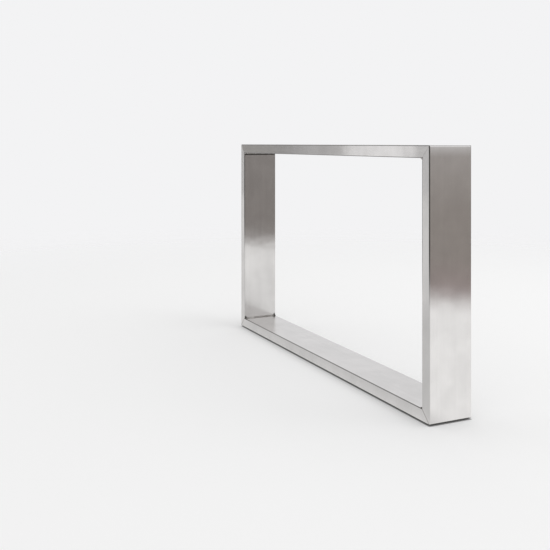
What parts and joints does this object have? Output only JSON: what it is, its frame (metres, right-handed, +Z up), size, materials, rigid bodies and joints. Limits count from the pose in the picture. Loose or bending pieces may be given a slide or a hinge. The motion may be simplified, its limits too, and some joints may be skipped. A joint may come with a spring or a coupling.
{
  "type": "rectangular tube table leg frame",
  "caption": "Closed rectangular table leg of flat brushed stainless tube, mitred and welded at the corners, with screw holes along its top rail for a table top and four thin glides under its bottom rail.",
  "frame": {"origin": "on the floor, under the middle of the frame", "axes": "+X along the frame's width, +Y through its depth with the face shown in the picture towards -Y, +Z up to the table top"},
  "size_m": [0.75, 0.08, 0.432],
  "materials": {
    "brushed_stainless": "satin, brushed along each tube, welds ground flush",
    "weld_metal": "bare weld metal, cleaned but not ground",
    "glide_rubber": "matt black, self-adhesive"
  },
  "bodies": {
    "root": {"top_rail": "brushed_stainless", "bottom_rail": "brushed_stainless", "left_upright": "brushed_stainless", "right_upright": "brushed_stainless", "corner_welds": "weld_metal", "floor_glides": "glide_rubber"}
  },
  "joints": []
}
